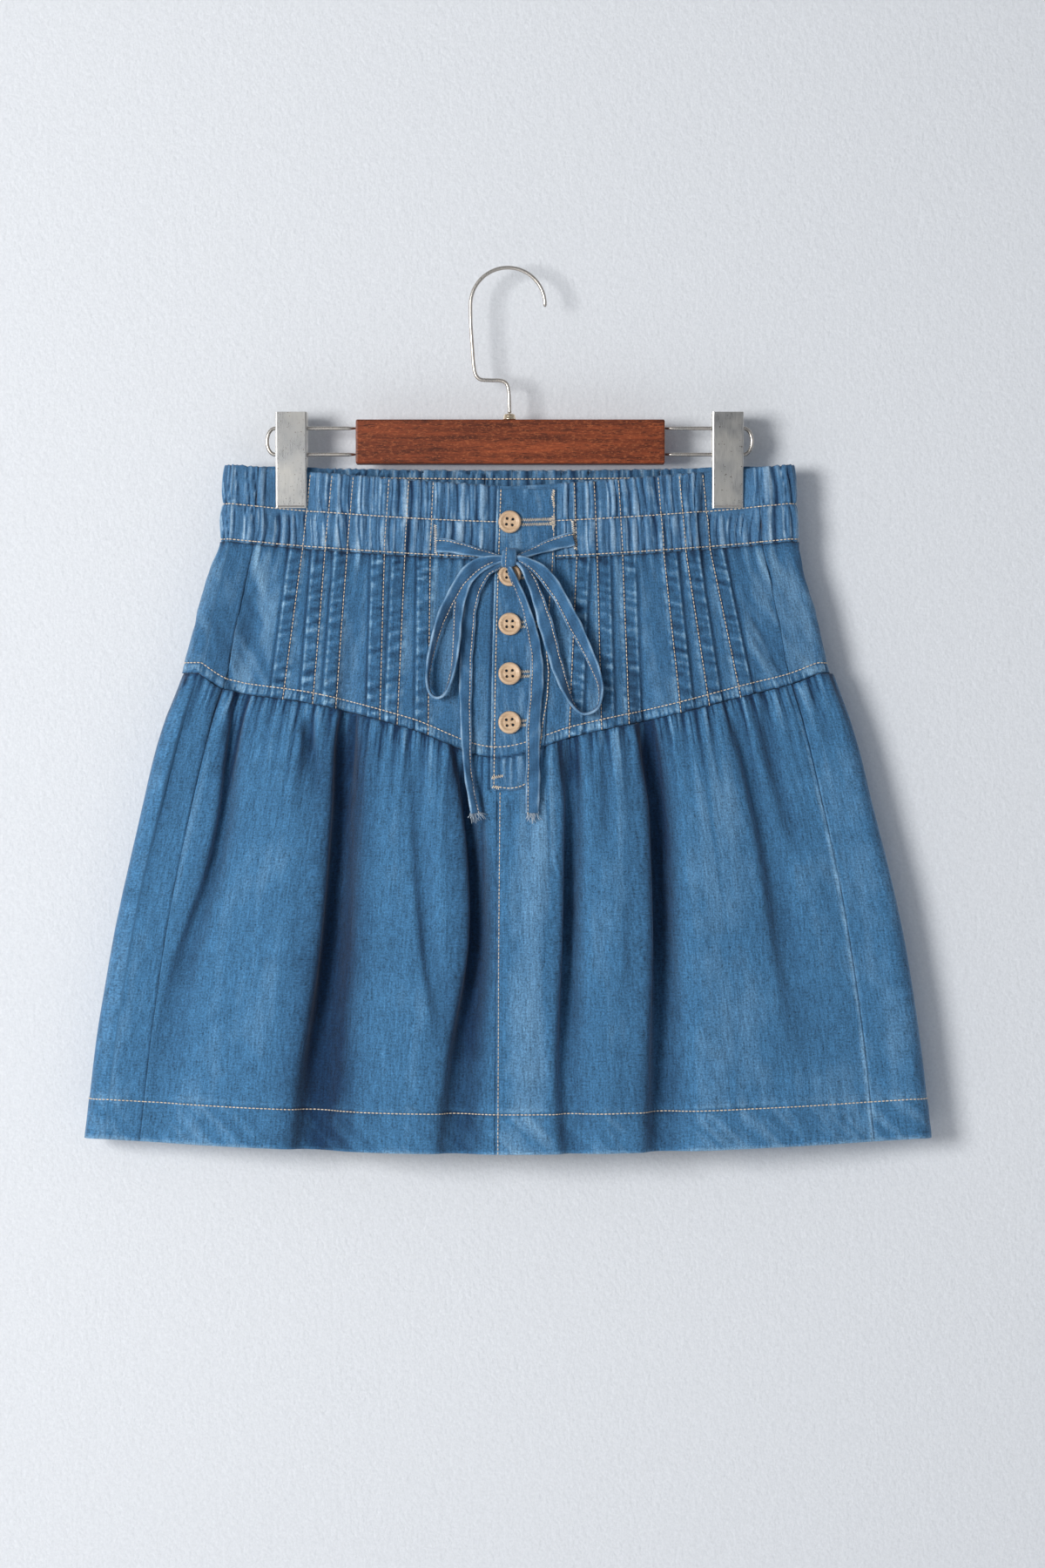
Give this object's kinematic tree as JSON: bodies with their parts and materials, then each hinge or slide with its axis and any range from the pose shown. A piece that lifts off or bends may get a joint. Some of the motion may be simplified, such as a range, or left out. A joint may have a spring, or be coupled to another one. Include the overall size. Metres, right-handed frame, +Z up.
{
  "type": "denim mini skirt on a clip hanger",
  "caption": "Short gathered denim skirt with an elasticated waist, tucked yoke, button strip and drawstring bow, hung by its waistband from a wood and steel clip hanger.",
  "frame": {"origin": "under the top of the hook's bow, where a rail carries the hanger", "axes": "+Z up along the hook, +X to the right seen from the front, and the skirt's front faces -Y"},
  "size_m": [0.5315, 0.0577, 0.5611],
  "materials": {
    "denim": "washed light indigo denim",
    "tie": "folded washed denim strip",
    "button": "turned, satin",
    "wire": "satin nickel wire",
    "clip": "pressed satin steel sheet",
    "bar": "reddish brown, varnished"
  },
  "bodies": {
    "root": {"waistband_front_left": "denim", "waistband_front_right": "denim", "waistband_back": "denim", "yoke_front_left": "denim", "yoke_front_right": "denim", "yoke_back": "denim", "skirt_front_left": "denim", "skirt_front_right": "denim", "skirt_back": "denim", "placket": "denim", "button_1": "button", "button_2": "button", "button_3": "button", "button_4": "button", "button_5": "button", "tie_knot": "tie", "tie_left_lead": "tie", "tie_right_lead": "tie", "tie_left_loop": "tie", "tie_right_loop": "tie", "tie_left_tail": "tie", "tie_right_tail": "tie", "hanger_hook": "wire", "hanger_ferrule": "wire", "hanger_rail_left": "wire", "hanger_rail_right": "wire", "hanger_bar": "bar", "clip_left_front": "clip", "clip_left_back": "clip", "clip_left_spring": "wire", "clip_right_front": "clip", "clip_right_back": "clip", "clip_right_spring": "wire"}
  },
  "joints": []
}
